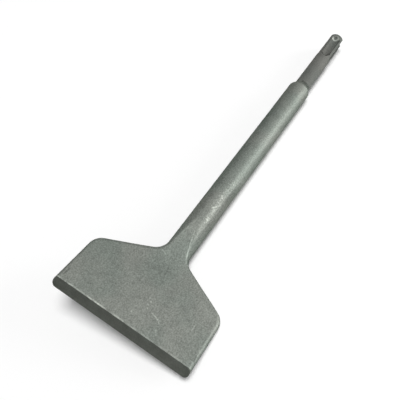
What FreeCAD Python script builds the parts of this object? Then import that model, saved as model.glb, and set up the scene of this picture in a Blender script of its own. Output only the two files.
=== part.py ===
import FreeCAD, Part
import math
import os

import Sketcher

# A cranked tile chisel for a rotary hammer: one bar, turned at the shank and forged flat into a wide blade.
# The tool lies along X, from the tip of the shank at X = 0 to the cutting edge, and Z is square to the bar
# on the side that carries the ground face.

# Alias, size in millimetres or degrees, and what it is.
SIZES = (
    ("total_length", 250.0, "tip of the shank to the cutting edge, along the bar"),
    ("shank_diameter", 10.0, "plain part of the shank"),
    ("shank_length", 57.0, "tip to the foot of the collar"),
    ("tip_chamfer", 0.7, "chamfer round the end face"),
    ("ball_groove_start", 3.6, "tip to the near end of each closed groove"),
    ("ball_groove_end", 25.7, "tip to the far end of each closed groove"),
    ("ball_groove_depth", 1.4, "depth of the closed grooves at mid width"),
    ("ball_radius", 3.5, "radius across the closed grooves"),
    ("keyway_length", 25.0, "length of the open grooves"),
    ("keyway_width", 5.0, "width of the open grooves"),
    ("keyway_depth", 1.45, "depth of the open grooves"),
    ("collar_angle", 26.0, "slope of the collar to the axis"),
    ("collar_foot_radius", 4.0, "hollow round at the collar's foot"),
    ("collar_rim_radius", 0.8, "round over the collar's rim"),
    ("shaft_diameter", 14.0, "round shaft"),
    ("neck_radius", 8.0, "hollow round from the shaft to the shoulder"),
    ("shoulder_angle", 64.4, "slope of the shoulders to the axis"),
    ("blade_width", 75.0, "across the parallel sides"),
    ("side_length", 31.1, "parallel sides, from the cutting edge back to the shoulders' line"),
    ("blade_thickness", 4.5, "forged blade"),
    ("corner_radius", 7.5, "shoulder to side, in plan"),
    ("edge_radius", 2.1, "round along the blade's outline"),
    ("crank_angle", 10.0, "blade to bar"),
    ("crank_length", 50.0, "cutting edge back to where the blade's middle plane crosses the axis"),
    ("forge_length", 78.0, "cutting edge back to where the upper flat begins its curve"),
    ("forge_rise", 0.15, "height of that beginning over the bar"),
    ("forge_radius", 197.0, "long curve of the upper flat"),
    ("valley_radius", 32.0, "hollow bend from the upper flat to the blade"),
    ("heel_radius", 58.0, "bend of the underside into the bar"),
    ("bevel_angle", 55.0, "ground face to the blade's underside"),
    ("clearance", 6.0, "how far a cut runs past what it cuts"),
)

SHEET = "sizes"


def angle_of(alias):
    """Return the alias as an expression with its unit of angle."""
    return f"{SHEET}.{alias} * 1 deg"


def length_of(text):
    """Return a formula of aliases, each written in braces, as an expression with its unit of length."""
    filled = text.format(**{alias: f"{SHEET}.{alias}" for alias, _, _ in SIZES})
    return f"({filled}) * 1 mm"


# Spreadsheet

def make_sheet(doc):
    """Write the driving sizes in a spreadsheet, and return them as a dictionary too."""
    sheet = doc.addObject("Spreadsheet::Sheet", SHEET)
    for row, (alias, value, note) in enumerate(SIZES, start=1):
        sheet.set(f"A{row}", note)
        sheet.set(f"B{row}", str(value))
        sheet.setAlias(f"B{row}", alias)
    doc.recompute()
    return {alias: float(sheet.get(alias)) for alias, _, _ in SIZES}


# Sketch helpers

class Drawing:
    """A sketch on one of the body's own origin planes, with short calls for its lines and arcs."""

    def __init__(self, body, name, role):
        self.sketch = body.newObject("Sketcher::SketchObject", name)
        plane = next(item for item in body.Origin.OriginFeatures if item.Role == role)
        self.sketch.AttachmentSupport = [(plane, "")]
        self.sketch.MapMode = "FlatFace"

    def line(self, start, end, construction=False):
        """Draw a line and return its number."""
        segment = Part.LineSegment(FreeCAD.Vector(*start, 0), FreeCAD.Vector(*end, 0))
        return self.sketch.addGeometry(segment, construction)

    def arc(self, centre, radius, first, last):
        """Draw an arc counter-clockwise between two angles in degrees and return its number."""
        circle = Part.Circle(FreeCAD.Vector(*centre, 0), FreeCAD.Vector(0, 0, 1), radius)
        curve = Part.ArcOfCircle(circle, math.radians(first), math.radians(last))
        return self.sketch.addGeometry(curve, False)

    def rule(self, kind, *args):
        """Add a constraint without a size of its own."""
        return self.sketch.addConstraint(Sketcher.Constraint(kind, *args))

    def size(self, kind, *args, value, bound):
        """Add a constraint with a size and bind it to an expression."""
        if kind == "Angle":
            value = math.radians(value)
        number = self.sketch.addConstraint(Sketcher.Constraint(kind, *args, value))
        self.sketch.setExpression(f"Constraints[{number}]", bound)
        return number

    def chain(self, *joints):
        """Join the end of one piece to the start of the next: each joint is (piece, end, piece, end)."""
        for joint in joints:
            self.rule("Coincident", *joint)

    def place(self, piece, end, x, y, bound_x, bound_y):
        """Hold a point at its distances from the origin."""
        self.size("DistanceX", -1, 1, piece, end, value=x, bound=bound_x)
        self.size("DistanceY", -1, 1, piece, end, value=y, bound=bound_y)


START, END, CENTRE = 1, 2, 3


# Turned blank

def draw_turned_profile(body, sizes):
    """Draw half of the turned outline: shank, collar, shaft, neck and a disc that the blade is cut from."""
    drawing = Drawing(body, "turned_profile", "XY_Plane")
    shank, shaft = sizes["shank_diameter"] / 2, sizes["shaft_diameter"] / 2
    slope, shoulder = math.radians(sizes["collar_angle"]), math.radians(sizes["shoulder_angle"])
    foot, rim, neck = sizes["collar_foot_radius"], sizes["collar_rim_radius"], sizes["neck_radius"]
    chamfer, foot_x = sizes["tip_chamfer"], sizes["shank_length"]
    corner = (sizes["total_length"] - sizes["side_length"], sizes["blade_width"] / 2)
    disc = corner[1] + sizes["clearance"]
    far = sizes["total_length"] + sizes["clearance"]

    foot_end = (foot_x + foot * math.sin(slope), shank + foot * (1 - math.cos(slope)))
    rim_rise = shaft - rim * (1 - math.cos(slope)) - foot_end[1]
    rim_start = (foot_end[0] + rim_rise / math.tan(slope), foot_end[1] + rim_rise)
    rim_x = rim_start[0] + rim * math.sin(slope)
    neck_x = corner[0] - (corner[1] - shaft) / math.tan(shoulder) - neck * math.tan(shoulder / 2)
    neck_end = (neck_x + neck * math.sin(shoulder), shaft + neck * (1 - math.cos(shoulder)))
    disc_x = corner[0] + sizes["clearance"] / math.tan(shoulder)

    end_face = drawing.line((0, 0), (0, shank - chamfer))
    bevelled = drawing.line((0, shank - chamfer), (chamfer, shank))
    plain = drawing.line((chamfer, shank), (foot_x, shank))
    foot_arc = drawing.arc((foot_x, shank + foot), foot, 270, 270 + sizes["collar_angle"])
    collar = drawing.line(foot_end, rim_start)
    rim_arc = drawing.arc((rim_x, shaft - rim), rim, 90, 90 + sizes["collar_angle"])
    bar = drawing.line((rim_x, shaft), (neck_x, shaft))
    neck_arc = drawing.arc((neck_x, shaft + neck), neck, 270, 270 + sizes["shoulder_angle"])
    shoulder_line = drawing.line(neck_end, (disc_x, disc))
    disc_line = drawing.line((disc_x, disc), (far, disc))
    far_line = drawing.line((far, disc), (far, 0))
    axis_line = drawing.line((far, 0), (0, 0))
    side = drawing.line(corner, (far, corner[1]), construction=True)

    drawing.chain(
        (end_face, END, bevelled, START),
        (bevelled, END, plain, START),
        (shoulder_line, END, disc_line, START),
        (disc_line, END, far_line, START),
        (far_line, END, axis_line, START),
        (axis_line, END, end_face, START),
    )
    drawing.rule("Coincident", end_face, START, -1, START)
    drawing.rule("Vertical", end_face)
    drawing.rule("Horizontal", axis_line)
    drawing.rule("Vertical", far_line)
    drawing.rule("Horizontal", disc_line)
    drawing.rule("Horizontal", plain)
    drawing.rule("Horizontal", bar)
    drawing.rule("Tangent", plain, END, foot_arc, START)
    drawing.rule("Tangent", foot_arc, END, collar, START)
    drawing.rule("Tangent", collar, END, rim_arc, END)
    drawing.rule("Tangent", rim_arc, START, bar, START)
    drawing.rule("Tangent", bar, END, neck_arc, START)
    drawing.rule("Tangent", neck_arc, END, shoulder_line, START)
    drawing.size("DistanceY", -1, 1, bevelled, START, value=shank - chamfer,
                 bound=length_of("{shank_diameter} / 2 - {tip_chamfer}"))
    drawing.place(bevelled, END, chamfer, shank, length_of("{tip_chamfer}"), length_of("{shank_diameter} / 2"))
    drawing.size("DistanceX", -1, 1, plain, END, value=foot_x, bound=length_of("{shank_length}"))
    drawing.size("Radius", foot_arc, value=foot, bound=length_of("{collar_foot_radius}"))
    drawing.size("Radius", rim_arc, value=rim, bound=length_of("{collar_rim_radius}"))
    drawing.size("Angle", collar, value=sizes["collar_angle"], bound=angle_of("collar_angle"))
    drawing.size("DistanceY", -1, 1, bar, END, value=shaft, bound=length_of("{shaft_diameter} / 2"))
    drawing.size("Radius", neck_arc, value=neck, bound=length_of("{neck_radius}"))
    drawing.size("Angle", shoulder_line, value=sizes["shoulder_angle"], bound=angle_of("shoulder_angle"))
    drawing.place(side, START, *corner, length_of("{total_length} - {side_length}"), length_of("{blade_width} / 2"))
    drawing.rule("PointOnObject", side, START, shoulder_line)
    drawing.rule("PointOnObject", side, END, far_line)
    drawing.rule("Horizontal", side)
    drawing.place(disc_line, END, far, disc, length_of("{total_length} + {clearance}"),
                  length_of("{blade_width} / 2 + {clearance}"))
    return drawing.sketch


def turn_blank(body, sizes):
    """Turn the outline about the bar's axis."""
    sketch = draw_turned_profile(body, sizes)
    blank = body.newObject("PartDesign::Revolution", "turned_blank")
    blank.Profile = sketch
    blank.ReferenceAxis = (sketch, ["H_Axis"])
    blank.Angle = 360
    return blank


# Forged flats

def crank_start(sizes):
    """Return where the blade's middle plane crosses the axis."""
    return sizes["total_length"] - sizes["crank_length"]


def forge_start(sizes):
    """Return where the forging of the round bar begins."""
    return sizes["total_length"] - sizes["forge_length"]


def blade_line(drawing, sizes, side, start, end_x):
    """Draw the blade's upper (side 1) or under (side -1) face as a line from start to end_x, held to the crank."""
    crank = math.radians(sizes["crank_angle"])
    origin = (crank_start(sizes), 0.0)
    far = (sizes["total_length"], sizes["crank_length"] * math.tan(crank))
    middle = drawing.line(origin, far, construction=True)
    drawing.place(middle, START, origin[0], 0.0, length_of("{total_length} - {crank_length}"), "0 mm")
    drawing.size("DistanceX", -1, 1, middle, END, value=far[0], bound=length_of("{total_length}"))
    drawing.size("Angle", middle, value=sizes["crank_angle"], bound=angle_of("crank_angle"))
    lift = side * sizes["blade_thickness"] / 2 / math.cos(crank)
    face = drawing.line(start, (end_x, (end_x - origin[0]) * math.tan(crank) + lift))
    drawing.rule("Parallel", face, middle)
    drawing.size("Distance", middle, START, face, value=sizes["blade_thickness"] / 2,
                 bound=length_of("{blade_thickness} / 2"))
    return face


def close_cut(drawing, first, first_end, last, last_end, points, level, bound_level):
    """Close a cut's outline from its last piece to its first by three straight lines at the given level."""
    (x0, y0), (x1, y1) = points
    near = drawing.line((x1, y1), (x1, level))
    back = drawing.line((x1, level), (x0, level))
    down = drawing.line((x0, level), (x0, y0))
    drawing.chain(
        (last, last_end, near, START),
        (near, END, back, START),
        (back, END, down, START),
        (down, END, first, first_end),
    )
    drawing.rule("Vertical", near)
    drawing.rule("Horizontal", back)
    drawing.rule("Vertical", down)
    drawing.size("DistanceY", -1, 1, back, END, value=level, bound=bound_level)


def draw_upper_flat(body, sizes):
    """Draw what the upper die pushes away: a long curve, a hollow bend and the blade's upper face."""
    drawing = Drawing(body, "upper_flat_profile", "XZ_Plane")
    crank = math.radians(sizes["crank_angle"])
    long_radius, hollow = sizes["forge_radius"], sizes["valley_radius"]
    start = (forge_start(sizes), sizes["shaft_diameter"] / 2 + sizes["forge_rise"])
    centre = (start[0], start[1] - long_radius)
    reach = (crank_start(sizes) - centre[0]) * math.sin(crank) + centre[1] * math.cos(crank)
    cosine = (sizes["blade_thickness"] / 2 + hollow - reach) / (long_radius + hollow)
    turn = math.acos(cosine) - crank
    hollow_centre = (
        centre[0] + (long_radius + hollow) * math.sin(turn),
        centre[1] + (long_radius + hollow) * math.cos(turn),
    )
    bend_end = (hollow_centre[0] + hollow * math.sin(crank), hollow_centre[1] - hollow * math.cos(crank))
    far = sizes["total_length"] + 2 * sizes["clearance"]

    long_arc = drawing.arc(centre, long_radius, 90 - math.degrees(turn), 90)
    bend = drawing.arc(hollow_centre, hollow, 270 - math.degrees(turn), 270 + sizes["crank_angle"])
    face = blade_line(drawing, sizes, 1, bend_end, far)
    far_y = (far - crank_start(sizes)) * math.tan(crank) + sizes["blade_thickness"] / 2 / math.cos(crank)
    level = sizes["blade_width"] / 2 + 2 * sizes["clearance"]
    close_cut(drawing, long_arc, END, face, END, (start, (far, far_y)), level,
              length_of("{blade_width} / 2 + 2 * {clearance}"))
    drawing.rule("Tangent", long_arc, START, bend, START)
    drawing.rule("Tangent", bend, END, face, START)
    drawing.rule("Vertical", long_arc, CENTRE, long_arc, END)
    drawing.place(long_arc, END, *start, length_of("{total_length} - {forge_length}"),
                  length_of("{shaft_diameter} / 2 + {forge_rise}"))
    drawing.size("Radius", long_arc, value=long_radius, bound=length_of("{forge_radius}"))
    drawing.size("Radius", bend, value=hollow, bound=length_of("{valley_radius}"))
    drawing.size("DistanceX", -1, 1, face, END, value=far, bound=length_of("{total_length} + 2 * {clearance}"))
    return drawing.sketch


def draw_under_flat(body, sizes):
    """Draw what the lower die pushes away: a bend out of the bar and the blade's straight underside."""
    drawing = Drawing(body, "under_flat_profile", "XZ_Plane")
    crank = math.radians(sizes["crank_angle"])
    heel = sizes["heel_radius"]
    depth = -(sizes["shaft_diameter"] / 2 + sizes["forge_rise"])
    drop = sizes["blade_thickness"] / 2 / math.cos(crank)
    crossing = crank_start(sizes) + (depth + drop) / math.tan(crank)
    start = (crossing - heel * math.tan(crank / 2), depth)
    bend_end = (start[0] + heel * math.sin(crank), depth + heel * (1 - math.cos(crank)))
    far = sizes["total_length"] + 2 * sizes["clearance"]

    bend = drawing.arc((start[0], depth + heel), heel, 270, 270 + sizes["crank_angle"])
    face = blade_line(drawing, sizes, -1, bend_end, far)
    far_y = (far - crank_start(sizes)) * math.tan(crank) - drop
    level = -(sizes["blade_width"] / 2 + 2 * sizes["clearance"])
    close_cut(drawing, bend, START, face, END, (start, (far, far_y)), level,
              length_of("-({blade_width} / 2 + 2 * {clearance})"))
    drawing.rule("Tangent", bend, END, face, START)
    drawing.rule("Vertical", bend, CENTRE, bend, START)
    drawing.size("DistanceY", -1, 1, bend, START, value=depth,
                 bound=length_of("-({shaft_diameter} / 2 + {forge_rise})"))
    drawing.size("Radius", bend, value=heel, bound=length_of("{heel_radius}"))
    drawing.size("DistanceX", -1, 1, face, END, value=far, bound=length_of("{total_length} + 2 * {clearance}"))
    return drawing.sketch


def cut_through(body, name, sketch):
    """Cut a sketch right through, to both sides of its plane."""
    cut = body.newObject("PartDesign::Pocket", name)
    cut.Profile = sketch
    cut.Type = "ThroughAll"
    cut.SideType = "Symmetric"
    return cut


# Blade outline

def draw_sides(body, sizes):
    """Draw the two strips outside the blade's parallel sides."""
    drawing = Drawing(body, "side_strips", "XY_Plane")
    half = sizes["blade_width"] / 2
    outer = half + 2 * sizes["clearance"]
    near, far = forge_start(sizes), sizes["total_length"] + 2 * sizes["clearance"]
    for sign, minus in ((1, ""), (-1, "-")):
        inner = drawing.line((near, sign * half), (far, sign * half))
        end = drawing.line((far, sign * half), (far, sign * outer))
        away = drawing.line((far, sign * outer), (near, sign * outer))
        back = drawing.line((near, sign * outer), (near, sign * half))
        drawing.chain(
            (inner, END, end, START),
            (end, END, away, START),
            (away, END, back, START),
            (back, END, inner, START),
        )
        drawing.rule("Horizontal", inner)
        drawing.rule("Vertical", end)
        drawing.rule("Horizontal", away)
        drawing.rule("Vertical", back)
        drawing.place(inner, START, near, sign * half, length_of("{total_length} - {forge_length}"),
                      length_of(minus + "{blade_width} / 2"))
        drawing.place(away, START, far, sign * outer, length_of("{total_length} + 2 * {clearance}"),
                      length_of(minus + "({blade_width} / 2 + 2 * {clearance})"))
    return drawing.sketch


def edge_names(shape, wanted):
    """Return the names of the edges that pass a test."""
    return [f"Edge{number}" for number, edge in enumerate(shape.Edges, start=1) if wanted(edge)]


def round_edges(body, name, wanted, alias):
    """Round the edges of the body so far that pass a test, with a radius from the sheet."""
    base = body.Tip
    fillet = body.newObject("PartDesign::Fillet", name)
    fillet.Base = (base, edge_names(base.Shape, wanted))
    fillet.setExpression("Radius", length_of("{" + alias + "}"))
    return fillet


def is_corner(sizes):
    """Return a test for the upright edges where the shoulders meet the sides."""
    half = sizes["blade_width"] / 2
    near, far = forge_start(sizes), sizes["total_length"]

    def test(edge):
        box = edge.BoundBox
        on_side = abs(abs(box.YMin) - half) < 0.01 and abs(abs(box.YMax) - half) < 0.01
        return on_side and near < box.Center.x < far and box.ZLength > box.XLength

    return test


def is_outline(shape, sizes):
    """Return a test for the edges between the forged flats and the blade's outline, from the neck on."""
    near, far = forge_start(sizes), sizes["total_length"] + sizes["clearance"] / 2

    def is_flat(face):
        surface = face.Surface
        if isinstance(surface, Part.Plane):
            return abs(surface.Axis.y) < 0.01 and abs(surface.Axis.x) < 0.9
        return isinstance(surface, Part.Cylinder) and abs(surface.Axis.y) > 0.99

    def test(edge):
        faces = shape.ancestorsOfType(edge, Part.Face)
        flats = [face for face in faces if is_flat(face)]
        middle = edge.BoundBox.Center
        return len(flats) == 1 and near < middle.x < far

    return test


def grind_bevel(body, sizes):
    """Grind one face through the whole thickness, up from the cutting edge on the underside."""
    drawing = Drawing(body, "bevel_profile", "XZ_Plane")
    crank, bevel = math.radians(sizes["crank_angle"]), math.radians(sizes["bevel_angle"])
    thickness, tip_x = sizes["blade_thickness"], sizes["total_length"]
    rise = sizes["crank_length"] * math.tan(crank)
    edge_z = rise - thickness / 2 / math.cos(crank)
    low, high, far = edge_z - thickness, rise + thickness + sizes["clearance"], tip_x + 2 * sizes["clearance"]
    lean = math.pi + crank - bevel
    top_x = tip_x + (high - edge_z) / math.tan(lean)

    ground = drawing.line((tip_x, edge_z), (top_x, high))
    over = drawing.line((top_x, high), (far, high))
    away = drawing.line((far, high), (far, low))
    under = drawing.line((far, low), (tip_x, low))
    front = drawing.line((tip_x, low), (tip_x, edge_z))
    drawing.chain(
        (ground, END, over, START),
        (over, END, away, START),
        (away, END, under, START),
        (under, END, front, START),
        (front, END, ground, START),
    )
    drawing.rule("Horizontal", over)
    drawing.rule("Vertical", away)
    drawing.rule("Horizontal", under)
    drawing.rule("Vertical", front)
    height = "{crank_length} * tan({crank_angle} * 1 deg)"
    drawing.place(ground, START, tip_x, edge_z, length_of("{total_length}"),
                  length_of(height + " - {blade_thickness} / 2 / cos({crank_angle} * 1 deg)"))
    drawing.size("Angle", ground, value=math.degrees(lean),
                 bound=f"180 deg + ({SHEET}.crank_angle - {SHEET}.bevel_angle) * 1 deg")
    drawing.place(over, END, far, high, length_of("{total_length} + 2 * {clearance}"),
                  length_of(height + " + {blade_thickness} + {clearance}"))
    drawing.size("DistanceY", -1, 1, under, START, value=low,
                 bound=length_of(height + " - {blade_thickness} / 2 / cos({crank_angle} * 1 deg)"
                                 " - {blade_thickness}"))
    return cut_through(body, "bevel", drawing.sketch)


# Shank grooves

def cut_ball_groove(body, sizes):
    """Cut the closed groove on the upper side of the shank: a round-ended channel for the locking balls."""
    drawing = Drawing(body, "ball_groove_profile", "XZ_Plane")
    radius, depth = sizes["ball_radius"], sizes["ball_groove_depth"]
    height = sizes["shank_diameter"] / 2 - depth + radius
    overlap = math.sqrt(radius**2 - (radius - depth) ** 2)
    near, far = sizes["ball_groove_start"] + overlap, sizes["ball_groove_end"] - overlap

    axis = drawing.line((near - radius, height), (far + radius, height), construction=True)
    near_arc = drawing.arc((near, height), radius, 180, 270)
    floor = drawing.line((near, height - radius), (far, height - radius))
    far_arc = drawing.arc((far, height), radius, 270, 360)
    closing = drawing.line((far + radius, height), (near - radius, height))
    drawing.chain(
        (far_arc, END, closing, START),
        (closing, END, near_arc, START),
        (axis, START, near_arc, START),
        (axis, END, far_arc, END),
    )
    drawing.rule("Horizontal", axis)
    drawing.rule("Tangent", near_arc, END, floor, START)
    drawing.rule("Tangent", floor, END, far_arc, START)
    drawing.rule("PointOnObject", near_arc, CENTRE, axis)
    drawing.rule("PointOnObject", far_arc, CENTRE, axis)
    reach = "sqrt({ball_radius} ^ 2 - ({ball_radius} - {ball_groove_depth}) ^ 2)"
    drawing.place(near_arc, CENTRE, near, height, length_of("{ball_groove_start} + " + reach),
                  length_of("{shank_diameter} / 2 - {ball_groove_depth} + {ball_radius}"))
    drawing.size("DistanceX", -1, 1, far_arc, CENTRE, value=far,
                 bound=length_of("{ball_groove_end} - " + reach))
    drawing.size("Radius", near_arc, value=radius, bound=length_of("{ball_radius}"))

    groove = body.newObject("PartDesign::Groove", "ball_groove")
    groove.Profile = drawing.sketch
    groove.ReferenceAxis = (drawing.sketch, ["Axis0"])
    groove.Angle = 360
    return groove


def cut_keyway(body, sizes):
    """Cut the open groove on one flank of the shank: a flat-bottomed keyway that runs out at the tip."""
    drawing = Drawing(body, "keyway_profile", "XZ_Plane")
    half, far = sizes["keyway_width"] / 2, sizes["keyway_length"] - sizes["keyway_width"] / 2
    near = -sizes["clearance"]
    lower = drawing.line((near, -half), (far, -half))
    end = drawing.arc((far, 0), half, -90, 90)
    upper = drawing.line((far, half), (near, half))
    mouth = drawing.line((near, half), (near, -half))
    drawing.chain((upper, END, mouth, START), (mouth, END, lower, START))
    drawing.rule("Tangent", lower, END, end, START)
    drawing.rule("Tangent", end, END, upper, START)
    drawing.rule("Horizontal", lower)
    drawing.rule("Horizontal", upper)
    drawing.rule("Vertical", mouth)
    drawing.place(end, CENTRE, far, 0.0, length_of("{keyway_length} - {keyway_width} / 2"), "0 mm")
    drawing.size("Radius", end, value=half, bound=length_of("{keyway_width} / 2"))
    drawing.size("DistanceX", -1, 1, mouth, END, value=near, bound=length_of("-{clearance}"))
    drawing.sketch.setExpression("AttachmentOffset.Base.z", length_of("{shank_diameter} / 2 - {keyway_depth}"))

    keyway = body.newObject("PartDesign::Pocket", "keyway")
    keyway.Profile = drawing.sketch
    keyway.Type = "ThroughAll"
    keyway.Reversed = True
    return keyway


def repeat_opposite(body, features):
    """Repeat the shank's grooves on the opposite side of the axis."""
    pattern = body.newObject("PartDesign::PolarPattern", "opposite_grooves")
    pattern.Originals = features
    axis = next(item for item in body.Origin.OriginFeatures if item.Role == "X_Axis")
    pattern.Axis = (axis, [""])
    pattern.Angle = 360
    pattern.Occurrences = 2
    body.Tip = pattern
    return pattern


# Rest

def rest_placement(shape, sizes):
    """Lay the tool down: it rolls on its round shaft until the blade touches the ground on one side.

    The origin is then under the middle of its bounding box.
    """
    shaft = sizes["shaft_diameter"] / 2
    points, _ = shape.tessellate(0.02)
    turns = []
    for point in points:
        reach = math.hypot(point.y, point.z)
        if point.x > forge_start(sizes) and reach > shaft + sizes["clearance"]:
            turns.append(math.acos(-shaft / reach) - math.atan2(point.y, point.z))
    rotation = FreeCAD.Rotation(FreeCAD.Vector(1, 0, 0), -math.degrees(min(turns)))
    laid = [rotation.multVec(point) for point in points]
    middle_x = (min(point.x for point in laid) + max(point.x for point in laid)) / 2
    middle_y = (min(point.y for point in laid) + max(point.y for point in laid)) / 2
    return FreeCAD.Placement(FreeCAD.Vector(-middle_x, -middle_y, shaft), rotation)


def check(doc):
    """Stop if an object has failed, or a shape is missing or broken."""
    for item in doc.Objects:
        if "Invalid" in item.State or "Error" in item.State:
            raise RuntimeError(f"{item.Label} failed")
        if item.isDerivedFrom("PartDesign::Feature") or item.isDerivedFrom("PartDesign::Body"):
            if item.Shape.isNull() or not item.Shape.isValid():
                raise RuntimeError(f"{item.Label} has no sound shape")


def main():
    """Build the document and write the part."""
    os.makedirs("parts", exist_ok=True)
    doc = FreeCAD.newDocument("tile_chisel")
    sizes = make_sheet(doc)
    chisel = doc.addObject("PartDesign::Body", "tile_chisel")
    chisel.Label = "tile_chisel"

    turn_blank(chisel, sizes)
    cut_through(chisel, "upper_flat", draw_upper_flat(chisel, sizes))
    cut_through(chisel, "under_flat", draw_under_flat(chisel, sizes))
    cut_through(chisel, "sides", draw_sides(chisel, sizes))
    doc.recompute()
    round_edges(chisel, "corners", is_corner(sizes), "corner_radius")
    doc.recompute()
    round_edges(chisel, "outline", is_outline(chisel.Tip.Shape, sizes), "edge_radius")
    doc.recompute()
    grind_bevel(chisel, sizes)
    grooves = [cut_ball_groove(chisel, sizes), cut_keyway(chisel, sizes)]
    repeat_opposite(chisel, grooves)
    doc.recompute()
    chisel.Placement = rest_placement(chisel.Tip.Shape, sizes)
    doc.recompute()
    check(doc)

    chisel.Shape.exportStep(f"parts/{chisel.Label}.step")


main()
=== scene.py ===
"""A cranked tile chisel: the look of its blasted steel, and the pale studio in which it lies."""

import logging
import math
from abc import ABC, abstractmethod
from dataclasses import dataclass
from enum import Enum

import bpy
from mathutils import Euler, Matrix, Vector


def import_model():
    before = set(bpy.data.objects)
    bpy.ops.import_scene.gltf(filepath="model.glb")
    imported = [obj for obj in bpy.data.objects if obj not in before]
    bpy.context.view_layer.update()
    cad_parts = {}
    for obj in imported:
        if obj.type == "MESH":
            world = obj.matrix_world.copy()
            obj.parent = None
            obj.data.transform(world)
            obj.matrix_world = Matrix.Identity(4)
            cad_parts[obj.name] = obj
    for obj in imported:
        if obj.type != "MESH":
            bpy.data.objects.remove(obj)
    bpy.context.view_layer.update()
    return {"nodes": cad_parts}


LOG = logging.getLogger("tile_chisel")

Colour = tuple[float, float, float]
Point = tuple[float, float, float]
Angles = tuple[float, float, float]
Range = tuple[float, float]

WHITE: Colour = (1.0, 1.0, 1.0)
NOISE_MEAN = 0.5
GROUND_FACE_TOP = 0.24618


def opaque(colour: Colour) -> tuple[float, float, float, float]:
    """Return the colour with full alpha, as a colour socket needs it."""
    return (*colour, 1.0)


class Term:
    """One value of a material's maths: it wraps a socket, and its operators add Math nodes."""

    def __init__(self, network: "Network", socket: bpy.types.NodeSocket | None) -> None:
        """Keep the socket and the network that it belongs to.

        Args:
            network: The network that new nodes go into.
            socket: The socket that carries the value, or None where a node has no output.
        """
        self.network = network
        self.socket = socket

    def _math(self, operation: str, *values: "Term | float") -> "Term":
        """Add a Math node.

        Args:
            operation: The node's operation.
            *values: Its inputs in order.

        Returns:
            The node's result.
        """
        inputs = dict(enumerate(values))
        return self.network.add("ShaderNodeMath", {"operation": operation}, inputs)

    def __add__(self, other: "Term | float") -> "Term":
        """Return self + other."""
        return self._math("ADD", self, other)

    __radd__ = __add__

    def __sub__(self, other: "Term | float") -> "Term":
        """Return self - other."""
        return self._math("SUBTRACT", self, other)

    def __rsub__(self, other: float) -> "Term":
        """Return other - self."""
        return self._math("SUBTRACT", other, self)

    def __mul__(self, other: "Term | float") -> "Term":
        """Return self * other."""
        return self._math("MULTIPLY", self, other)

    __rmul__ = __mul__

    def __abs__(self) -> "Term":
        """Return the size of the value without its sign."""
        return self._math("ABSOLUTE", self)

    def at_most(self, other: "Term | float") -> "Term":
        """Return the smaller of the two."""
        return self._math("MINIMUM", self, other)

    def at_least(self, other: "Term | float") -> "Term":
        """Return the larger of the two."""
        return self._math("MAXIMUM", self, other)

    def root(self) -> "Term":
        """Return the square root."""
        return self._math("SQRT", self)

    def centred(self) -> "Term":
        """Return a noise about 0, not about its mean."""
        return self - NOISE_MEAN

    def lifted(self, least: float) -> "Term":
        """Return a share from 0 to 1 as one from least to 1."""
        return least + self * (1.0 - least)

    def rise(self, low: float, high: float) -> "Term":
        """Rise smoothly between two limits; swapped limits make it fall.

        Args:
            low: The value up to which the result is 0.
            high: The value from which it is 1.

        Returns:
            The blended value between 0 and 1.
        """
        inputs = {"Value": self, "From Min": min(low, high), "From Max": max(low, high)}
        if low > high:
            inputs |= {"To Min": 1.0, "To Max": 0.0}
        return self.network.add("ShaderNodeMapRange", {"interpolation_type": "SMOOTHSTEP"}, inputs)

    def between(self, low: float, high: float, fade: float) -> "Term":
        """Find where the value lies between two limits.

        Args:
            low: The lower limit, below which the result is 0.
            high: The upper limit, above which it is 0.
            fade: How far inside each limit it reaches 1.

        Returns:
            The blended value between 0 and 1.
        """
        return self.rise(low, low + fade) * self.rise(high, high - fade)


class Network:
    """The nodes of one material or world, with one way to add any node.

    The colour sockets of a Mix node share their names with those for other data, so they go by number.
    """

    MIX_FIRST, MIX_SECOND, MIX_RESULT = 6, 7, 2
    SEEN_RAYS = ("Is Camera Ray", "Is Glossy Ray", "Is Transmission Ray")

    def __init__(self, tree: bpy.types.NodeTree) -> None:
        """Empty the tree.

        Args:
            tree: The node tree to fill.
        """
        tree.nodes.clear()
        self.tree = tree

    def add(self, kind: str, settings: dict | None = None, inputs: dict | None = None,
            output: int | str = 0) -> Term:
        """Add a node.

        Args:
            kind: The node's type.
            settings: Its properties, which are set first.
            inputs: Values or terms for its sockets, by name or number.
            output: The output socket to return, by name or number.

        Returns:
            The chosen output as a term.
        """
        node = self.tree.nodes.new(kind)
        for name, value in (settings or {}).items():
            setattr(node, name, value)
        for name, value in (inputs or {}).items():
            if isinstance(value, Term):
                self.tree.links.new(value.socket, node.inputs[name])
            else:
                node.inputs[name].default_value = value
        return Term(self, node.outputs[output] if len(node.outputs) else None)

    def mix(self, share: Term | float, first: "Term | Colour", second: "Term | Colour") -> Term:
        """Mix two colours.

        Args:
            share: How much of the second colour, from 0 to 1.
            first: The colour at 0.
            second: The colour at 1.

        Returns:
            The mixed colour.
        """
        colours = [value if isinstance(value, Term) else opaque(value) for value in (first, second)]
        inputs = {"Factor": share, self.MIX_FIRST: colours[0], self.MIX_SECOND: colours[1]}
        return self.add("ShaderNodeMix", {"data_type": "RGBA"}, inputs, output=self.MIX_RESULT)

    def scale(self, colour: Term, strength: Term) -> Term:
        """Multiply a colour by a number.

        Args:
            colour: The colour.
            strength: The number.

        Returns:
            The scaled colour.
        """
        inputs = {"Vector": colour, "Scale": strength}
        return self.add("ShaderNodeVectorMath", {"operation": "SCALE"}, inputs)

    def axis(self, vector: Term, name: str) -> Term:
        """Return one axis of a vector, "X", "Y" or "Z"."""
        return self.add("ShaderNodeSeparateXYZ", inputs={"Vector": vector}, output=name)

    def seen(self) -> Term:
        """Return 1 for rays of the camera, of reflections and through glass, and 0 for others."""
        rays = [self.add("ShaderNodeLightPath", output=name) for name in self.SEEN_RAYS]
        return (rays[0] + rays[1] + rays[2]).at_most(1.0)


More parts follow.
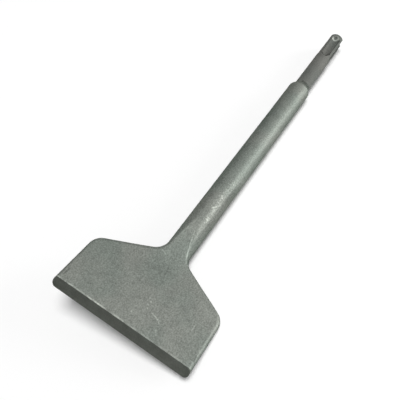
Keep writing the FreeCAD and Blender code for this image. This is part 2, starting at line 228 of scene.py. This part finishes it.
def new_material(name: str) -> tuple[bpy.types.Material, Network]:
    """Make an empty material.

    Args:
        name: The material's name.

    Returns:
        The material, and the network to fill it with.
    """
    material = bpy.data.materials.new(name)
    material.use_nodes = True
    return material, Network(material.node_tree)


def new_sheet(name: str, corners: list[Point], faces: list[tuple[int, ...]],
              material: bpy.types.Material) -> bpy.types.Object:
    """Make a thin piece of the studio.

    Args:
        name: The piece's name.
        corners: Its corners.
        faces: The corners of each face, by number.
        material: What it is made of.

    Returns:
        The piece, in the scene.
    """
    mesh = bpy.data.meshes.new(name)
    mesh.from_pydata(corners, [], faces)
    mesh.materials.append(material)
    sheet = bpy.data.objects.new(name, mesh)
    bpy.context.scene.collection.objects.link(sheet)
    return sheet


@dataclass(frozen=True)
class Rest:
    """How the tool lies: rolled about its bar until a corner of the blade touches the floor.

    The tool's own axes are X along the bar from the tip of the shank, and Z square to the bar on the
    side of the ground face.
    """

    roll: float = math.radians(-13.9203)
    tip_x: float = -0.125
    axis_y: float = -0.00150995
    axis_z: float = 0.007

    def matrix(self) -> Matrix:
        """Return the matrix from the tool's own axes to the floor's."""
        place = Matrix.Translation((self.tip_x, self.axis_y, self.axis_z))
        return place @ Matrix.Rotation(self.roll, 4, "X")


@dataclass(frozen=True)
class Noise:
    """A soft noise about 0.5: the size of its grains in metres, its finer layers and their strength."""

    size: float
    detail: float = 2.0
    rough: float = 0.5

    def read(self, net: Network, place: Term) -> Term:
        """Read the noise.

        Args:
            net: The material's network.
            place: The point at which it is read, in metres.

        Returns:
            The noise, from 0 to 1.
        """
        layers = {"Detail": self.detail, "Roughness": self.rough}
        inputs = {"Vector": place, "Scale": 1.0 / self.size} | layers
        return net.add("ShaderNodeTexNoise", {"noise_dimensions": "3D"}, inputs)


class Zone(Enum):
    """The stretches of the tool, each with a skin of its own."""

    FORGED = "forged"
    SHANK = "shank"
    GROUND = "ground"


@dataclass(frozen=True)
class Skin:
    """How one zone's steel looks: its cool and its warm colour, its roughness and its speckle."""

    cool: Colour
    warm: Colour
    roughness: float
    speckle: float


@dataclass(frozen=True)
class Spot:
    """The point that is shaded: its X (along) and Y (across) on the tool, and the noises there.

    The blast is the fine noise and the cloud the middling one. The grain is the blast as a strength of
    about 1, which breaks up fine lines.
    """

    along: Term
    across: Term
    blast: Term
    cloud: Term
    grain: Term


class WearAndPaintedLight(ABC):
    """Worn marks on the upper side, and light or shade painted on it; its sizes and places are in
    metres.
    """

    @abstractmethod
    def mask(self, spot: Spot) -> Term:
        """Find how it changes the surface.

        Args:
            spot: The point that is shaded.

        Returns:
            The change of tone, above 0 where the steel gets brighter.
        """


class Stroke(Enum):
    """How far a mark reaches from its middle line, in metres."""

    SCRATCH = 0.0004
    SPECK = 0.0005
    SMEAR = 0.0006
    SLOT_SIDE = 0.0007
    SLOT_END = 0.0008
    RUN_OUT = 0.009


@dataclass(frozen=True)
class Mark(WearAndPaintedLight):
    """A short straight line of changed tone, from start to end in the tool's X and Y: a scratch, speck
    or smear, or painted light or shade.
    """

    start: tuple[float, float]
    end: tuple[float, float]
    stroke: Stroke
    change: float
    core: float = 0.3

    def mask(self, spot: Spot) -> Term:
        """Find the mark on the surface.

        Args:
            spot: The point that is shaded.

        Returns:
            The change of tone, full in the mark's core and 0 beyond its width.
        """
        middle = [(first + last) / 2.0 for first, last in zip(self.start, self.end)]
        run = Vector(self.end) - Vector(self.start)
        way = run.normalized()
        from_x, from_y = spot.along - middle[0], spot.across - middle[1]
        beyond = (abs(from_x * way.x + from_y * way.y) - run.length / 2.0).at_least(0.0)
        beside = from_y * way.x - from_x * way.y
        away = (beyond * beyond + beside * beside).root()
        width = self.stroke.value
        return self.change * away.rise(width, width * self.core) * spot.grain


@dataclass(frozen=True)
class CreaseWearAndHighlight(WearAndPaintedLight):
    """A worn line along one side of the crease, where the bar runs out into the blade, with a painted
    highlight on it.

    Its Y is place + slope * (x - first) + bend * (x - first) ** 2 from the first X to the last.
    """

    first: float
    last: float
    place: float
    slope: float
    bend: float
    change: float
    width: float = 0.0004
    core: float = 0.2
    fade: float = 0.2

    def mask(self, spot: Spot) -> Term:
        """Find the line on the surface.

        Args:
            spot: The point that is shaded.

        Returns:
            The change of tone, which fades at both ends of the line.
        """
        from_first = spot.along - self.first
        line = self.place + from_first * self.slope + from_first * from_first * self.bend
        ends = spot.along.between(self.first, self.last, self.fade * (self.last - self.first))
        beside = abs(spot.across - line).rise(self.width, self.width * self.core)
        return self.change * beside * ends * spot.grain


@dataclass(frozen=True)
class GrooveEndHighlight(WearAndPaintedLight):
    """A painted highlight: the bright ring round the end of the ball groove, and its fainter middle.

    Its painted sheen is full on the side that faces the blade and weakest on the other side.
    """

    centre: tuple[float, float] = (0.0044, -0.0004)
    radius: float = 0.0019
    width: float = 0.0011
    core: float = 0.2
    weakest: float = 0.25
    ring_change: float = 1.4
    middle_change: float = 0.1
    middle_fade: Range = (0.8, 0.3)

    def mask(self, spot: Spot) -> Term:
        """Find the ring and its middle on the surface.

        Args:
            spot: The point that is shaded.

        Returns:
            The change of tone.
        """
        from_x, from_y = spot.along - self.centre[0], spot.across - self.centre[1]
        away = (from_x * from_x + from_y * from_y).root()
        ring = abs(away - self.radius).rise(self.width, self.width * self.core)
        painted_sheen = from_x.rise(-self.radius, self.radius).lifted(self.weakest)
        middle = away.rise(*(self.radius * share for share in self.middle_fade))
        return (self.ring_change * ring * painted_sheen + self.middle_change * middle) * spot.grain


@dataclass(frozen=True)
class ScuffAndGlint(WearAndPaintedLight):
    """A patch of bright flecks on the upper side of the bar: scuffs, painted brighter as glints along
    its highlight.
    """

    first: float = 0.148
    last: float = 0.187
    side: float = 0.003
    half_width: float = 0.0032
    fade: float = 0.3
    flecks: Range = (0.5, 0.68)
    thinning: Range = (0.42, 0.6)

    def mask(self, spot: Spot) -> Term:
        """Find the flecks on the surface.

        Args:
            spot: The point that is shaded.

        Returns:
            The change of tone, above 0 where the blast is high and the cloud isn't low.
        """
        ends = spot.along.between(self.first, self.last, self.fade * (self.last - self.first))
        beside = abs(spot.across - self.side).rise(self.half_width, 0.0)
        return spot.blast.rise(*self.flecks) * spot.cloud.rise(*self.thinning) * ends * beside


@dataclass(frozen=True)
class PaintedEdgeHighlight(WearAndPaintedLight):
    """A painted highlight along the top of the ground face, weakest at its high Y."""

    top: float = GROUND_FACE_TOP
    width: float = 0.0009
    core: float = 0.5
    sharpness: float = 0.0001
    half_length: float = 0.0375
    weakest: float = 0.25
    gaps: Range = (0.3, 0.6)
    least_fleck: float = 0.5

    def mask(self, spot: Spot) -> Term:
        """Find the line on the surface.

        Args:
            spot: The point that is shaded.

        Returns:
            The change of tone, soft towards the bar, sharp at the ground face and broken by the noises.
        """
        soft = spot.along.rise(self.top - self.width, self.top - self.core * self.width)
        sharp = spot.along.rise(self.top + self.sharpness, self.top - self.sharpness)
        strength = spot.across.rise(self.half_length, -self.half_length).lifted(self.weakest)
        flecks = spot.cloud.rise(*self.gaps) * (self.least_fleck + spot.blast)
        return soft * sharp * strength * flecks


@dataclass(frozen=True)
class CollarShade(WearAndPaintedLight):
    """Painted shade: the dark band at the foot of the collar, between two places on the bar and two
    sides.
    """

    first: float = 0.0568
    last: float = 0.0592
    fade: float = 0.0002
    low_side: Range = (-0.0024, -0.0004)
    high_side: Range = (0.0053, 0.0043)
    change: float = -0.45

    def mask(self, spot: Spot) -> Term:
        """Find the band on the surface.

        Args:
            spot: The point that is shaded.

        Returns:
            The change of tone.
        """
        ends = spot.along.between(self.first - self.fade, self.last + self.fade, self.fade)
        sides = spot.across.rise(*self.low_side) * spot.across.rise(*self.high_side)
        return self.change * ends * sides


# Painted highlights along the ground face's top, the crease and round the ball groove's end, painted
# shade at the collar's foot, and scuffs painted bright as glints. The crease's painted highlight is
# stronger on its right side.
SHAPED_WEAR_AND_PAINTED_LIGHT: tuple[WearAndPaintedLight, ...] = (
    PaintedEdgeHighlight(),
    CollarShade(),
    ScuffAndGlint(),
    CreaseWearAndHighlight(0.1865, 0.2045, place=0.0012, slope=0.2093, bend=6.23, change=0.42),
    CreaseWearAndHighlight(0.186, 0.2015, place=-0.00183, slope=-0.19, bend=0.0, change=0.2),
    GrooveEndHighlight(),
)
BLADE_MARKS: tuple[Mark, ...] = (
    Mark((0.2298, 0.0039), (0.2299, 0.0041), Stroke.SPECK, 0.5),
    Mark((0.2312, 0.0053), (0.2313, 0.0055), Stroke.SPECK, 0.5),
    Mark((0.2329, 0.005), (0.233, 0.0052), Stroke.SPECK, 0.4),
    Mark((0.2347, 0.0058), (0.2348, 0.006), Stroke.SPECK, 0.4),
    Mark((0.24, 0.0009), (0.2401, 0.0011), Stroke.SPECK, 0.4),
    Mark((0.2353, 0.0088), (0.2359, 0.0111), Stroke.SCRATCH, 0.45),
    Mark((0.2359, 0.0111), (0.2365, 0.0129), Stroke.SCRATCH, 0.45),
    Mark((0.2365, 0.0129), (0.2376, 0.0143), Stroke.SCRATCH, 0.35),
    Mark((0.2408, 0.0149), (0.243, 0.0165), Stroke.SCRATCH, 0.25),
    Mark((0.2285, 0.0281), (0.2318, 0.028), Stroke.SCRATCH, 0.4),
    Mark((0.2057, -0.0065), (0.2068, -0.0033), Stroke.SCRATCH, 0.25),
    Mark((0.2403, -0.0347), (0.2435, -0.0347), Stroke.SMEAR, -0.35),
    Mark((0.24, 0.0358), (0.2426, 0.0363), Stroke.SMEAR, -0.35),
)
BAR_MARKS_AND_PAINTED_LIGHT: tuple[Mark, ...] = (
    # A broad painted highlight on the run-out, where the bar turns into the blade.
    Mark((0.19, 0.001), (0.206, 0.001), Stroke.RUN_OUT, 0.09),
    # Scuffs, painted brighter as glints along the bar's highlight.
    Mark((0.1793, 0.0037), (0.1799, 0.0037), Stroke.SMEAR, 0.45),
    Mark((0.1726, 0.0033), (0.1734, 0.0032), Stroke.SMEAR, 0.4),
    Mark((0.1679, 0.0044), (0.1686, 0.0044), Stroke.SMEAR, 0.35),
    Mark((0.1581, 0.0046), (0.1585, 0.0046), Stroke.SPECK, 0.3),
)
SLOT_PAINTED_SHADE: tuple[Mark, ...] = (
    # Painted shade along the side and round the far end of the ball groove.
    Mark((0.0047, 0.0028), (0.0218, 0.0028), Stroke.SLOT_SIDE, -0.5),
    Mark((0.0236, -0.0019), (0.0253, -0.0002), Stroke.SLOT_END, -0.6),
    Mark((0.0253, -0.0002), (0.0252, 0.0014), Stroke.SLOT_END, -0.6),
    Mark((0.0252, 0.0014), (0.0223, 0.0028), Stroke.SLOT_END, -0.6),
)


@dataclass(frozen=True)
class BlastedSteel:
    """Forged steel, shot blasted to an even grey, with a ground face along the cutting edge.

    The noises change its tone and its roughness. The worn marks and the painted light and shade lie
    over them on the upper side only, where the Z of the normal is past facing_up.
    """

    skins: tuple[tuple[Zone, Skin], ...] = (
        (Zone.FORGED, Skin((0.264, 0.294, 0.264), (0.285, 0.301, 0.273), roughness=0.54, speckle=1.6)),
        (Zone.SHANK, Skin((0.243, 0.257, 0.238), (0.255, 0.258, 0.24), roughness=0.8, speckle=1.2)),
        # The ground face's darker colour is painted shade; its lower roughness and weaker speckle are
        # its own.
        (Zone.GROUND, Skin((0.195, 0.212, 0.184), (0.2, 0.212, 0.188), roughness=0.45, speckle=0.6)),
    )
    shank_end: Range = (0.058, 0.056)
    ground_start: Range = (GROUND_FACE_TOP, GROUND_FACE_TOP + 0.0002)
    facing_up: Range = (0.2, 0.5)
    warm_drift: Range = (0.35, 0.65)
    blast: Noise = Noise(0.0007, rough=0.6)
    cloud: Noise = Noise(0.005)
    drift: Noise = Noise(0.02, detail=1.0)
    cloud_tone: float = 0.35
    drift_tone: float = 0.3
    blast_roughness: float = 0.2
    cloud_roughness: float = 0.12
    wear_polish: float = 0.1
    least_grain: float = 0.6
    grain_range: float = 0.8
    grazing: Colour = (0.12, 0.13, 0.12)
    bump: float = 0.35
    bump_depth: float = 0.0001
    wear_and_painted_light: tuple[WearAndPaintedLight, ...] = SHAPED_WEAR_AND_PAINTED_LIGHT + BLADE_MARKS + BAR_MARKS_AND_PAINTED_LIGHT + SLOT_PAINTED_SHADE

    def material(self, rest: Rest) -> bpy.types.Material:
        """Make the material.

        Args:
            rest: How the tool lies, to find the tool's own axes on it.

        Returns:
            The finished material.
        """
        material, net = new_material("blasted_steel")
        turn = rest.matrix().inverted()
        place = net.add("ShaderNodeMapping", {"vector_type": "POINT"}, {
            "Vector": net.add("ShaderNodeTexCoord", output="Object"),
            "Location": turn.translation, "Rotation": turn.to_euler()})
        normal = net.add("ShaderNodeMapping", {"vector_type": "VECTOR"}, {
            "Vector": net.add("ShaderNodeTexCoord", output="Normal"), "Rotation": turn.to_euler()})
        blast, cloud, drift = (noise.read(net, place) for noise in (self.blast, self.cloud, self.drift))
        grain = self.least_grain + blast * self.grain_range
        spot = Spot(net.axis(place, "X"), net.axis(place, "Y"), blast, cloud, grain)
        upper = net.axis(normal, "Z").rise(*self.facing_up)
        zones = {
            Zone.SHANK: spot.along.rise(*self.shank_end),
            Zone.GROUND: spot.along.rise(*self.ground_start) * upper,
        }
        base, roughness, speckle = self._skin(net, zones, drift.rise(*self.warm_drift))
        # The worn marks together with the painted highlights, glints and shade, as one change of tone.
        masks = [wear_and_light_tone.mask(spot) for wear_and_light_tone in self.wear_and_painted_light]
        wear_and_light_tone = sum(masks[1:], masks[0]) * upper
        tone = 1.0 + blast.centred() * speckle + cloud.centred() * self.cloud_tone
        tone = tone + drift.centred() * self.drift_tone + wear_and_light_tone
        roughness = roughness + blast.centred() * self.blast_roughness
        roughness = roughness + cloud.centred() * self.cloud_roughness - wear_and_light_tone * self.wear_polish
        bump = {"Strength": self.bump, "Distance": self.bump_depth, "Height": blast}
        surface = net.add("ShaderNodeBsdfPrincipled", inputs={
            "Base Color": net.scale(base, tone),
            "Metallic": 1.0,
            "Specular Tint": opaque(self.grazing),
            "Roughness": roughness,
            "Normal": net.add("ShaderNodeBump", inputs=bump),
        })
        net.add("ShaderNodeOutputMaterial", inputs={"Surface": surface})
        return material

    def _skin(self, net: Network, zones: dict[Zone, Term], warmth: Term) -> tuple[Term, Term, Term]:
        """Lay the other zones' skins over the forged one.

        Args:
            net: The material's network.
            zones: Where each of the other zones is.
            warmth: The share of the warm colour.

        Returns:
            The colour, the roughness and the strength of the speckle.
        """
        skins = dict(self.skins)
        forged = skins.pop(Zone.FORGED)
        base = net.mix(warmth, forged.cool, forged.warm)
        roughness, speckle = forged.roughness, forged.speckle
        for zone, skin in skins.items():
            share = zones[zone]
            base = net.mix(share, base, net.mix(warmth, skin.cool, skin.warm))
            roughness = roughness + share * (skin.roughness - forged.roughness)
            speckle = speckle + share * (skin.speckle - forged.speckle)
        return base, roughness, speckle


@dataclass(frozen=True)
class TileChisel:
    """The tool, one forging in blasted steel."""

    node: str = "tile_chisel"
    rest: Rest = Rest()
    finish: BlastedSteel = BlastedSteel()

    def dress(self, nodes: dict[str, bpy.types.Object]) -> bpy.types.Object:
        """Give the forging its finish.

        Args:
            nodes: The frame's solids by name.

        Returns:
            The dressed solid.
        """
        solid = nodes[self.node]
        material = self.finish.material(self.rest)
        for slot in solid.material_slots:
            slot.material = material
        return solid


@dataclass(frozen=True)
class Floor:
    """The pale floor that the tool lies on."""

    name: str = "pale_floor"
    reach: float = 3.0
    colour: Colour = (0.9, 0.9, 0.9)
    lift: float = 0.02

    def lay(self) -> bpy.types.Object:
        """Make the floor.

        Returns:
            The floor.
        """
        signs = ((-1, -1), (1, -1), (1, 1), (-1, 1))
        corners = [(x * self.reach, y * self.reach, 0.0) for x, y in signs]
        floor = new_sheet(self.name, corners, [(0, 1, 2, 3)], self._material())
        return floor

    def _material(self) -> bpy.types.Material:
        """Make a matt white that shows a little brighter where it is seen, and keeps shadows.

        Returns:
            The finished material.
        """
        material, net = new_material(self.name)
        matt = net.add("ShaderNodeBsdfDiffuse", inputs={"Color": opaque(self.colour)})
        glow = net.add("ShaderNodeEmission", inputs={"Strength": net.seen() * self.lift})
        both = net.add("ShaderNodeAddShader", inputs={0: matt, 1: glow})
        net.add("ShaderNodeOutputMaterial", inputs={"Surface": both})
        return material


@dataclass(frozen=True)
class Card:
    """A grey card that only reflections see: a strip of an upright ring on the floor.

    It runs from its first to its last azimuth, and its top is an elevation: degrees, from the centre.
    """

    name: str
    first: float
    last: float
    top: float
    shade: float
    centre: tuple[float, float] = (0.0, 0.0)
    radius: float = 1.6
    steps: int = 24

    def stand(self) -> bpy.types.Object:
        """Make the card.

        Returns:
            The card.
        """
        height = self.radius * math.tan(math.radians(self.top))
        corners = []
        for step in range(self.steps + 1):
            turn = math.radians(self.first + (self.last - self.first) * step / self.steps)
            place_x = self.centre[0] + self.radius * math.cos(turn)
            place_y = self.centre[1] + self.radius * math.sin(turn)
            corners += [(place_x, place_y, 0.0), (place_x, place_y, height)]
        lowest = range(0, 2 * self.steps, 2)
        faces = [(corner, corner + 2, corner + 3, corner + 1) for corner in lowest]
        card = new_sheet(self.name, corners, faces, self._material())
        card.visible_camera = False
        card.visible_diffuse = False
        card.visible_shadow = False
        return card

    def _material(self) -> bpy.types.Material:
        """Make an even grey that needs no light.

        Returns:
            The finished material.
        """
        material, net = new_material(self.name)
        grey = opaque((self.shade, self.shade, self.shade))
        glow = net.add("ShaderNodeEmission", inputs={"Color": grey})
        net.add("ShaderNodeOutputMaterial", inputs={"Surface": glow})
        return material


class LampKind(Enum):
    """The kinds of lamp in the studio: a panel close by, or an even light from far above."""

    PANEL = "AREA"
    HIGH = "SUN"


@dataclass(frozen=True)
class Lamp:
    """A soft lamp aimed at the middle of the tool; its size is a panel's side or a high lamp's angle."""

    name: str
    kind: LampKind
    place: Point
    size: float
    power: float
    mirrored: bool = True

    def hang(self) -> bpy.types.Object:
        """Hang the lamp.

        Returns:
            The lamp.
        """
        light = bpy.data.lights.new(self.name, self.kind.value)
        light.energy = self.power
        if self.kind is LampKind.PANEL:
            light.shape = "SQUARE"
            light.size = self.size
        else:
            light.angle = self.size
        lamp = bpy.data.objects.new(self.name, light)
        bpy.context.scene.collection.objects.link(lamp)
        lamp.location = self.place
        lamp.rotation_euler = Vector(self.place).to_track_quat("Z", "Y").to_euler()
        lamp.visible_glossy = self.mirrored
        return lamp


@dataclass(frozen=True)
class Camera:
    """The camera that took the photograph: its place and turn are in the tool's own axes."""

    name: str = "camera"
    sensor: float = 36.0
    lens: float = 40.425
    shift: tuple[float, float] = (-0.0113, 0.003591)
    nearest: float = 0.01
    eye: Point = (0.281743, 0.04397, 0.210225)
    turn: Angles = (math.radians(30.0797), math.radians(-5.4642), math.radians(122.6295))

    def stand(self, rest: Rest) -> bpy.types.Object:
        """Stand the camera where the photograph was taken from.

        Args:
            rest: How the tool lies, to bring the camera to the floor's axes.

        Returns:
            The camera.
        """
        data = bpy.data.cameras.new(self.name)
        data.sensor_width = self.sensor
        data.lens = self.lens
        data.shift_x, data.shift_y = self.shift
        data.clip_start = self.nearest
        camera = bpy.data.objects.new(self.name, data)
        bpy.context.scene.collection.objects.link(camera)
        stand = Matrix.Translation(self.eye) @ Euler(self.turn).to_matrix().to_4x4()
        camera.matrix_world = rest.matrix() @ stand
        bpy.context.scene.camera = camera
        return camera


@dataclass(frozen=True)
class Studio:
    """An even white sky, two lamps, and cards for the steel to mirror."""

    sky: float = 0.22
    lamps: tuple[Lamp, ...] = (
        Lamp("side_lamp", LampKind.PANEL, (-0.6, 0.85, 0.27), size=0.5, power=3.0),
        Lamp("top_lamp", LampKind.HIGH, (-0.045, 0.24, 1.5), size=math.radians(30.0), power=2.66,
             mirrored=False),
    )
    cards: tuple[Card, ...] = (
        Card("left_card", first=170.0, last=290.0, top=50.0, shade=0.45),
        Card("neck_card", first=50.0, last=150.0, top=24.0, shade=0.35, centre=(0.05, 0.0), radius=0.03),
        Card("front_card", first=290.0, last=420.0, top=35.0, shade=0.12),
    )

    def light_sky(self) -> bpy.types.World:
        """Make the sky, white where it is seen and dimmer where it only lights.

        Returns:
            The sky.
        """
        world = bpy.data.worlds.new("white_sky")
        bpy.context.scene.world = world
        world.use_nodes = True
        net = Network(world.node_tree)
        seen = net.seen()
        strength = seen + (1.0 - seen) * self.sky
        sky = net.add("ShaderNodeBackground", inputs={"Color": opaque(WHITE), "Strength": strength})
        net.add("ShaderNodeOutputWorld", inputs={"Surface": sky})
        return world


def main() -> None:
    """Load the solids, dress the tool and set up the studio."""
    logging.basicConfig(level=logging.INFO, format="%(name)s: %(message)s")
    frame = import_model()
    chisel = TileChisel()
    piece = chisel.dress(frame["nodes"])
    LOG.info("dressed %s", piece.name)
    floor = Floor().lay()
    LOG.info("laid %s", floor.name)
    studio = Studio()
    LOG.info("lit %s", studio.light_sky().name)
    for card in studio.cards:
        LOG.info("stood %s", card.stand().name)
    for lamp in studio.lamps:
        LOG.info("hung %s", lamp.hang().name)
    camera = Camera().stand(chisel.rest)
    LOG.info("set %s", camera.name)
    bpy.context.scene.view_settings.view_transform = "Standard"


if __name__ == "__main__":
    main()
